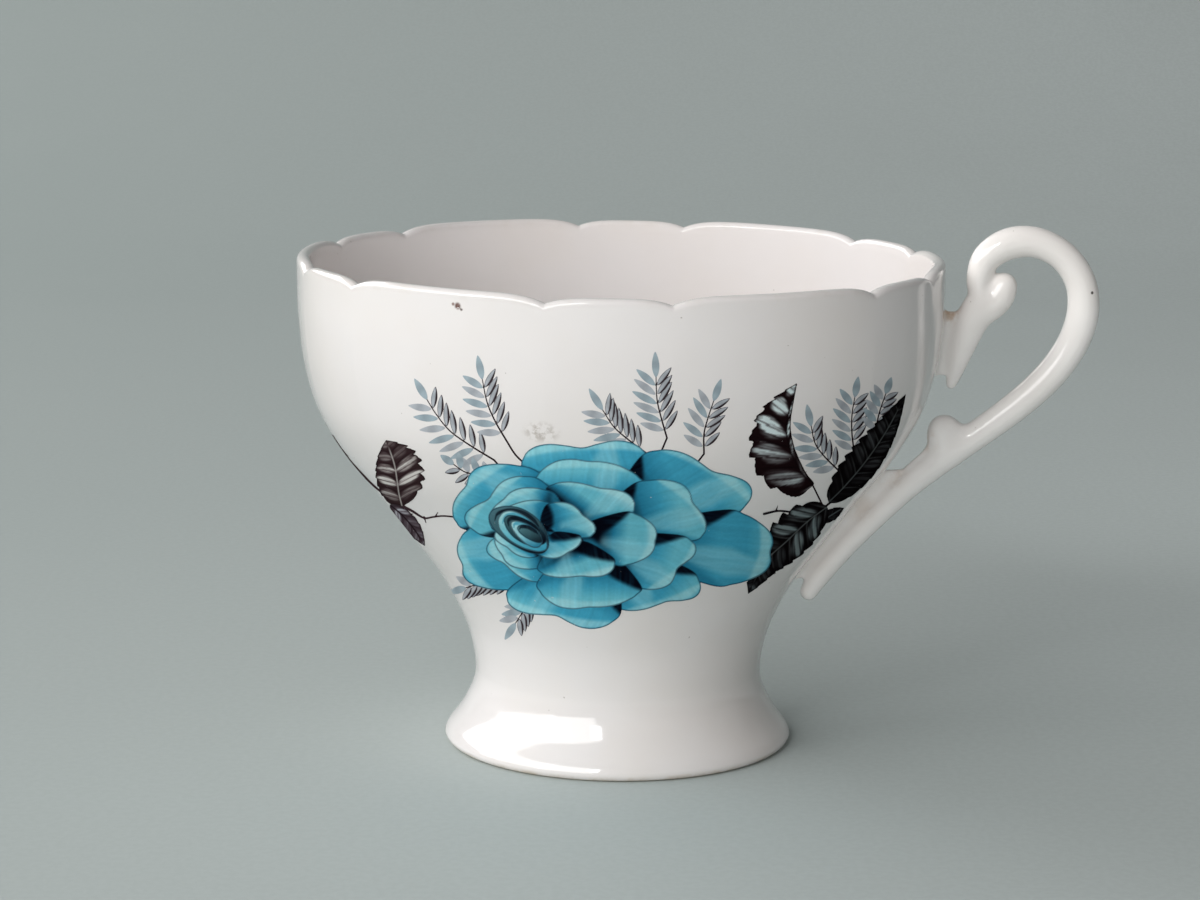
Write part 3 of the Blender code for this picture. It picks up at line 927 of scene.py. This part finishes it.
def print_object(name, nets, mat):
    V, Fs, C, base = [], [], [], 0
    for v, f, c in nets:
        V.append(v)
        Fs += [[i + base for i in q] for q in f]
        C.append(c)
        base += len(v)
    ob = mesh_object(name, np.vstack(V), Fs, [mat])
    c = np.clip(np.vstack(C), 0, 255) / 255
    lin = np.where(c <= 0.04045, c / 12.92, ((c + 0.055) / 1.055) ** 2.4)
    attr = ob.data.color_attributes.new("enamel", "FLOAT_COLOR", "POINT")
    attr.data.foreach_set("color", np.hstack([lin, np.ones((len(lin), 1))]).ravel())
    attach(ob, "root")
    return ob


def enamel(name, mottle):
    """Printed enamel under the glaze: the drawn colours, broken by fine screen grain and
    small misses where the white shows."""
    t = Tree(name)
    a = t.node("ShaderNodeVertexColor")
    a.layer_name = "enamel"
    c = a.outputs["Color"]
    grain = t.ramp(t.noise(2100.0, 2.0, 0.55), 0.3, 0.7)
    c = t.mix(t.math("MULTIPLY", grain, mottle), c, srgb(150, 170, 176), "MULTIPLY")
    cloud = t.ramp(t.noise(240.0, 4.0, 0.6), 0.42, 0.72)
    c = t.mix(t.math("MULTIPLY", cloud, 0.10), c, srgb(150, 190, 200), "SOFT_LIGHT")
    miss = t.ramp(t.noise(1300.0, 2.0, 0.6), 0.745, 0.78)
    c = t.mix(t.math("MULTIPLY", miss, 0.35), c, WHITE)
    return glaze_surface(t, c, 0.09, 0.0, 0.0).mat


# -- the rose
TEAL_L, TEAL_M, TEAL_D = (150, 206, 216), (108, 186, 202), (66, 156, 184)
DEEP, INK = (40, 122, 152), (6, 8, 18)
CURL = (180, 222, 224)


def draw_rose(X, Y):
    """A plain stock rose, seen at a slant: rings of petals and a coiled heart, all by one rule."""
    g = Drawing(X, Y)
    turn, flat = math.radians(2), 0.60

    def put(cx, cy, r, th):
        u, v = r * math.cos(th), flat * r * math.sin(th)
        return cx + u * math.cos(turn) - v * math.sin(turn), cy + u * math.sin(turn) + v * math.cos(turn)

    def ring_petal(cx, cy, R, th, half, seed, cols):
        out = []
        for p in np.linspace(-1, 1, 13):
            r = R * (0.34 + 0.66 * (1 - abs(p) ** 3.2) ** 0.5) * (1 + 0.035 * math.sin(5 * p + seed))
            out.append(put(cx, cy, r * (1 - 0.05 * math.exp(-(p / 0.2) ** 2)), th + half * p))
        out += [put(cx, cy, 0.2 * R, th + 0.4 * half), put(cx, cy, 0.2 * R, th - 0.4 * half)]
        foot, lip = put(cx, cy, 0.36 * R, th), put(cx, cy, 1.0 * R, th)
        arc = lambda f, a, b: [put(cx, cy, f * R, th + half * p) for p in np.linspace(a, b, 5)]
        ray = lambda p, a, b: [put(cx, cy, f * R, th + half * p * f ** 0.3) for f in np.linspace(a, b, 4)]
        s = R / 110
        strokes = [(ray(0.30, 0.45, 0.92), (0.5, 4 * s, 6 * s, 2 * s), 9, TEAL_L, 0.5),
                   (arc(0.95, -0.7, 0.7), (0.3, 1.6 * s, 2.0 * s, 0.3), 5, CURL, 0.55),
                   (ray(0.88, 0.30, 0.88), (4 * s, 3 * s, 1.5 * s, 0.2), 7, DEEP, 0.75),
                   (ray(-0.92, 0.30, 0.90), (8 * s, 7 * s, 4 * s, 0.1), 6, INK, 0.93)]
        grain = math.degrees(math.atan2(lip[1] - foot[1], lip[0] - foot[0]))
        g.petal(out, (foot, lip, *cols), strokes, edge=(2.6, TEAL_D, 0.5), grain=(grain, 5), line=0.75, seed=seed)

    g.petal([put(596, 538, 112, a) for a in np.linspace(0, 2 * math.pi, 13)[:-1]],
            ((500, 500), (690, 580), INK, (16, 24, 36)), line=0, grain=(20, 0))
    rings = ((601, 538, 165, 7, 0.08, 0.60, (INK, DEEP, TEAL_D, TEAL_D, TEAL_M)),
             (588, 536, 124, 6, 0.50, 0.70, (INK, DEEP, TEAL_D, TEAL_M, TEAL_M)),
             (566, 534, 88, 5, 0.08, 0.84, (INK, DEEP, TEAL_M, TEAL_M, TEAL_L)),
             (542, 532, 56, 4, 0.90, 1.02, (DEEP, TEAL_D, TEAL_M, TEAL_L)))
    for i, (cx, cy, R, n, off, half, cols) in enumerate(rings):
        ths = sorted((off + 2 * math.pi * k / n for k in range(n)), key=lambda a: (math.sin(a), math.cos(a)))
        for k, th in enumerate(ths):
            low = 1 - 0.20 * max(0.0, math.sin(th)) * abs(math.cos(th)) * 2 + 0.06 * abs(math.cos(th)) ** 3
            ring_petal(cx, cy, R * low * (1 + 0.04 * math.sin(2.3 * k + i)), th, half, 11 + 10 * i + k, cols)
    # heart: turns stacked towards the lower right, each with a pale lip and a dark throat
    for i, (cx, cy, ra, rb, rot) in enumerate(((520, 529, 34, 18.5, 33), (522, 531.5, 29, 14.5, 36),
                                               (525, 531, 24, 11.5, 30), (527, 534, 19, 9, 38),
                                               (530, 533.5, 14.5, 6.2, 32))):
        th = np.linspace(0, 2 * np.pi, 15)[:-1]
        wob = 1 + 0.05 * np.sin(3 * th + 1.7 * i)
        u, v, r = ra * wob * np.cos(th), rb * wob * np.sin(th), math.radians(rot)
        ring = [(cx + p * math.cos(r) - q * math.sin(r), cy + p * math.sin(r) + q * math.cos(r))
                for p, q in zip(u, v)]
        near = (cx - 0.7 * ra * math.cos(r) + rb * math.sin(r), cy - 0.7 * ra * math.sin(r) - rb * math.cos(r))
        far = (cx + 0.7 * ra * math.cos(r) - rb * math.sin(r), cy + 0.7 * ra * math.sin(r) + rb * math.cos(r))
        cols = (((84, 122, 132), (62, 92, 100), INK), (CURL, TEAL_M, TEAL_D), ((70, 104, 110), (44, 72, 80), INK),
                (CURL, TEAL_L, DEEP), ((96, 140, 146), (62, 96, 104), (24, 36, 44)))[i]
        lip = [(cx + 0.80 * p * math.cos(r) - 0.80 * q * math.sin(r),
                cy + 0.80 * p * math.sin(r) + 0.80 * q * math.cos(r)) for p, q in zip(u[6:13], v[6:13])]
        strokes = [(lip, (0.4, 1.2, 1.4, 0.4), 1.8, INK if i % 2 == 0 else TEAL_D, 0.7)]
        g.petal(ring, (near, far, *cols), strokes, edge=(1.5, CURL if i % 2 else TEAL_M, 0.6),
                grain=(30 + 12 * i, 4), line=0.85, seed=26 + i)
    return g


# -- leaves, branches and thorns
BARK = (62, 46, 50)
PALE_FERN, GREY_FERN, FERN_INK = (152, 166, 174), (168, 172, 178), (44, 32, 36)


def draw_leaves_left(X, Y):
    g = Drawing(X, Y)
    g.ink([(332, 436), (345, 455), (360, 472), (375, 487), (387, 496), (401, 505), (412, 511), (424, 518),
           (433, 517), (443, 516), (455, 517)], (1.2, 1.2, 1.1, 1.0, 1.0, 1.0, 1.1, 1.3, 0.9, 0.8, 0.8), BARK)
    g.ink([(424, 517), (426, 523)], (0.9, 0.3), BARK)
    g.ink([(435, 517), (438, 512)], (0.8, 0.3), BARK)
    g.ink([(400, 505), (404, 514), (413, 514)], (0.8, 0.6, 0.4), BARK)
    g.leaf([(402, 506), (399, 494), (397, 480), (394, 463), (386, 440)], 27, 8, (50, 36, 38), (206, 202, 198), 1.45,
           (30, 20, 22), rise=0.44, seed=5, bite=(0.20, 0.07), blunt=2.6, pairs=5, ribs=(176, 172, 168), sides=(1.0, 0.76))
    g.leaf([(390, 505), (402, 515), (414, 529), (425, 546)], 8, 6, (66, 54, 60), (190, 192, 200), 1.0,
           (34, 24, 28), rise=0.5, seed=7, bite=0.10)
    return g


def draw_girth(X, Y):
    """Where the branch ends, round the left side: two more leaves and a frond."""
    g = Drawing(X, Y)
    g.ink([(150, 30), (96, -2), (48, -28), (4, -40), (-34, -44)], (1.2, 1.1, 1.0, 0.9, 0.5), BARK)
    g.ink([(60, -22), (44, -44), (40, -60)], (0.8, 0.7, 0.4), BARK)
    g.leaf([(22, -35), (4, -12), (-4, 22), (-18, 46)], 21, 8, (56, 38, 42), (150, 154, 152), 0.62, (170, 172, 170),
           seed=15)
    g.leaf([(40, -60), (30, -86), (30, -112), (18, -136)], 20, 8, (62, 46, 50), (160, 168, 168), 0.7,
           (40, 30, 36), seed=16, rise=0.45)
    g.leaf([(-34, -44), (-56, -54), (-80, -52), (-100, -60)], 13, 7, (50, 36, 40), (140, 146, 146), 0.6,
           (160, 160, 160), seed=17)
    return g


def draw_leaves_right(X, Y):
    g = Drawing(X, Y)
    g.ink([(716, 490), (730, 501), (742, 508)], (0.7, 0.6, 0.4), BARK)
    g.ink([(764, 514), (778, 511), (792, 512), (806, 512), (824, 508)], (1.2, 1.0, 1.0, 1.0, 1.2), (30, 24, 30))
    g.ink([(776, 511), (778, 505)], (0.9, 0.2), (30, 24, 30))
    g.ink([(799, 512), (803, 517)], (0.9, 0.2), (30, 24, 30))
    g.ink([(824, 508), (818, 496), (812, 484), (806, 474)], (0.9, 0.8, 0.8, 0.6), (40, 26, 30))
    g.ink([(822, 510), (830, 503), (838, 500)], (1.2, 1.0, 0.8), (30, 22, 26))
    # upper leaf with light between its veins
    g.leaf([(814, 484), (805, 477), (797, 465), (789, 446), (787, 421), (797, 383)], 31, 9, (26, 14, 16),
           (214, 228, 230), 2.1, (14, 8, 10), rise=0.38, seed=9, sides=(0.16, 1.28), bite=(0.03, 0.16), blunt=1.7,
           pairs=5, ribs=(18, 10, 12))
    g.leaf([(829, 502), (845, 486), (866, 461), (887, 430), (906, 394)], 25, 11, (10, 7, 8), (88, 92, 94), 0.8,
           (84, 88, 88), rise=0.38, seed=10, sides=(0.60, 0.76), bite=(0.06, 0.20), blunt=1.7, pairs=7)
    g.leaf([(822, 521), (830, 516), (838, 511), (844, 508)], 6, 4, (14, 10, 12), (90, 98, 102), 0.4, (90, 96, 98),
           seed=11)
    g.leaf([(827, 507), (807, 522), (787, 541), (765, 562), (748, 594)], 26, 9, (12, 8, 10), (124, 136, 138), 1.25,
           (92, 96, 96), rise=0.36, seed=12, sides=(0.84, 0.78), bite=(0.22, 0.09), blunt=2.3, pairs=5)
    return g


# -- fern fronds: stem from its foot to its tip, pairs of blades, blade length, side of the inked blades
FRONDS = [
    ([(494, 460), (471, 446), (450, 431), (436, 414), (426, 398)], 7, 21, 1),
    ([(506, 440), (495, 421), (487, 402), (482, 378)], 6, 21, 1),
    ([(493, 479), (479, 475), (465, 472), (453, 464)], 4, 14, -1),
    ([(646, 453), (630, 441), (614, 427), (602, 409)], 7, 22, 1),
    ([(667, 438), (661, 417), (657, 399), (656, 376)], 6, 22, 1),
    ([(704, 454), (704, 434), (708, 418), (714, 400)], 5, 20, 1),
    ([(514, 582), (497, 582), (483, 583), (465, 588)], 7, 15, -1),
    ([(556, 594), (538, 596), (527, 606), (515, 624)], 7, 17, -1),
    ([(840, 472), (824, 456), (815, 443), (811, 425)], 6, 19, 1),
    ([(855, 457), (852, 434), (852, 415), (855, 396)], 6, 18, 1),
    ([(875, 435), (879, 414), (886, 393)], 5, 15, 1),
]


def draw_fronds(X, Y):
    g = Drawing(X, Y)
    x0, x1, y0, y1 = X.min(), X.max(), Y.min(), Y.max()
    for stem, pairs, length, inked in FRONDS:
        pts = np.array(stem, float)
        sx, sy = pts.mean(0)
        if not (x0 - 10 < sx < x1 + 10 and y0 - 10 < sy < y1 + 10):
            continue
        g.ink(stem, np.linspace(0.9, 0.45, 5), FERN_INK, 0.4)
        if stem[0][0] < 720:                      # the stem goes on under the rose
            sx, sy = stem[0]
            g.ink([(sx, sy), (sx + 0.10 * (600 - sx), sy + 0.15 * (538 - sy)),
                   (sx + 0.22 * (600 - sx), sy + 0.26 * (538 - sy))], 0.9, FERN_INK, 0.4)
        line = smooth(stem)
        run = np.r_[0, np.cumsum(np.hypot(*np.diff(line, axis=0).T))]
        at = lambda f: np.array([np.interp(f * run[-1], run, line[:, i]) for i in (0, 1)])
        for i in range(pairs + 1):
            f = 0.12 + 0.86 * i / pairs
            foot = at(min(f, 1))
            e = at(min(f + 0.02, 1)) - at(min(f, 1) - 0.04)
            e /= np.hypot(*e)
            size = 1.16 * length * (0.80 + 0.28 * math.sin(2.6 * f + 0.3))
            if i == pairs:
                g.leaflet(foot, foot + e * size * 1.15, 3.7, PALE_FERN)
                break
            for side in (-1, 1):
                spread = math.radians((50 if side == inked else 58) - 12 * f)
                d = np.array([e[0] * math.cos(spread) - side * e[1] * math.sin(spread),
                              side * e[0] * math.sin(spread) + e[1] * math.cos(spread)])
                start = foot + d * 1.6
                if side == inked:
                    g.leaflet(start, start + d * size * 0.92, 3.1, GREY_FERN, (FERN_INK, side))
                else:
                    g.leaflet(start, start + d * size, 3.6, PALE_FERN if i % 2 else GREY_FERN)
    return g


ferns = [lay_print("f", box, draw_fronds, 0.10, 0.014) for box in
         ((408, 352, 532, 496), (574, 348, 732, 482), (445, 562, 572, 640), (788, 370, 902, 478))]
print_object("transfer_ferns", ferns, enamel("fern_enamel", 0.10))
leaves = [lay_print("l", (326, 420, 460, 550), draw_leaves_left, 0.12, 0.021, theta=(-88.0, 20.0)),
          lay_print("r", (710, 378, 915, 604), draw_leaves_right, 0.12, 0.021),
          lay_print("g", (-112, -142, 150, 60), draw_girth, 0.14, 0.021, to_girth, (-126.0, -70.0), (24.0, 62.0))]
print_object("transfer_leaves", leaves, enamel("leaf_enamel", 0.07))
print_object("transfer_rose", [lay_print("rose", (436, 432, 774, 644), draw_rose, 0.12, 0.028)],
             enamel("rose_enamel", 0.10))


# ---------------------------------------------------------------- stage, light, camera
def build_stage():
    """A plain sweep: level under the cup, rising far behind it."""
    w, rows = 1.6, []
    rows.append((-1.6, 0.0))
    for y in np.linspace(-1.0, 0.45, 8):
        rows.append((y, 0.0))
    for deg in np.arange(6, 91, 6):
        a = math.radians(deg)
        rows.append((0.45 + 0.5 * math.sin(a), 0.5 * (1 - math.cos(a))))
    rows.append((0.95, 1.8))
    verts = [(x, y, z) for y, z in rows for x in (-w, w)]
    faces = [(2 * i, 2 * i + 1, 2 * i + 3, 2 * i + 2) for i in range(len(rows) - 1)]
    me = bpy.data.meshes.new("sweep")
    me.from_pydata(verts, [], faces)
    me.shade_smooth()
    ob = bpy.data.objects.new("sweep", me)
    bpy.context.scene.collection.objects.link(ob)
    t = Tree("sweep_paper")
    grain = t.noise(900.0, 3.0, 0.6)
    cloud = t.noise(9.0, 3.0, 0.5)
    place = t.node("ShaderNodeSeparateXYZ")
    t.link(t.coord.outputs["Object"], place.inputs[0])
    # painted light: the paper is coloured darker on the left and lighter on the right, to even out how the lamps light
    # it
    c = t.mix(t.ramp(place.outputs["X"], -0.35, 0.35), srgb(153, 162, 160), srgb(204, 212, 211))
    c = t.mix(t.math("MULTIPLY", t.ramp(cloud, 0.3, 0.7), 0.14), c, srgb(176, 182, 180))
    c = t.mix(t.math("MULTIPLY", t.ramp(grain, 0.35, 0.65), 0.12), c, srgb(150, 158, 156))
    t.put(t.bsdf.inputs["Base Color"], c)
    t.bsdf.inputs["Roughness"].default_value = 0.85
    t.bsdf.inputs["Specular IOR Level"].default_value = 0.25
    t.put(t.bsdf.inputs["Normal"], t.bump(grain, 0.08, 0.0002))
    me.materials.append(t.mat)
    return ob


def area(name, azimuth, elevation, distance, size, size_y, watts, colour=(1, 1, 1), aim=(0, 0, 0.04)):
    """A soft box; azimuth from -Y towards +X."""
    a, e = math.radians(azimuth), math.radians(elevation)
    d = Vector((math.sin(a) * math.cos(e), -math.cos(a) * math.cos(e), math.sin(e)))
    li = bpy.data.lights.new(name, "AREA")
    li.shape = "RECTANGLE"
    li.size, li.size_y = size, size_y
    li.energy = watts
    li.color = colour
    ob = bpy.data.objects.new(name, li)
    bpy.context.scene.collection.objects.link(ob)
    ob.location = Vector(aim) + d * distance
    ob.rotation_euler = d.to_track_quat("Z", "Y").to_euler()
    return ob


build_stage()
area("window", -37, 29, 0.95, 0.62, 0.42, 3.3, (1.0, 0.995, 0.985))
area("window_left", -78, 28, 0.95, 0.95, 0.44, 4.2, (1.0, 0.995, 0.985))
area("back_left", -128, 29, 0.95, 0.76, 0.46, 3.7, (1.0, 1.0, 1.0))
area("bright_pane", -17, 34, 0.94, 0.10, 0.10, 0.45, (1.0, 0.995, 0.985))
area("low_front", -6, 9, 0.90, 0.50, 0.20, 2.5, (1.0, 0.985, 0.97)).visible_glossy = False
area("right_fill", 78, 46, 0.95, 0.80, 0.60, 0.35, (1.0, 0.99, 0.97)).visible_glossy = False
area("top_fill", 10, 72, 1.1, 1.2, 1.0, 1.8, (0.98, 0.99, 1.0)).visible_glossy = False


world = bpy.data.worlds.new("studio")
bpy.context.scene.world = world
world.use_nodes = True
bg = world.node_tree.nodes["Background"]
bg.inputs["Color"].default_value = (*srgb(190, 184, 182), 1)
bg.inputs["Strength"].default_value = 0.03

cam_data = bpy.data.cameras.new("camera")
cam = bpy.data.objects.new("camera", cam_data)
bpy.context.scene.collection.objects.link(cam)
right = Vector((0.99994739, 0.0075616, 0.00693131))
up = Vector((-0.00819906, 0.18313228, 0.98305409))
back = Vector((0.00616412, -0.9830592, 0.18318464))
cam.matrix_world = Matrix(((right.x, up.x, back.x, 0.0), (right.y, up.y, back.y, -0.44),
                           (right.z, up.z, back.z, 0.1233), (0, 0, 0, 1)))
cam_data.sensor_width = 36.0
cam_data.lens = 95.39
cam_data.clip_start = 0.01
bpy.context.scene.camera = cam
bpy.context.scene.view_settings.view_transform = "Standard"
bpy.context.scene.view_settings.look = "None"
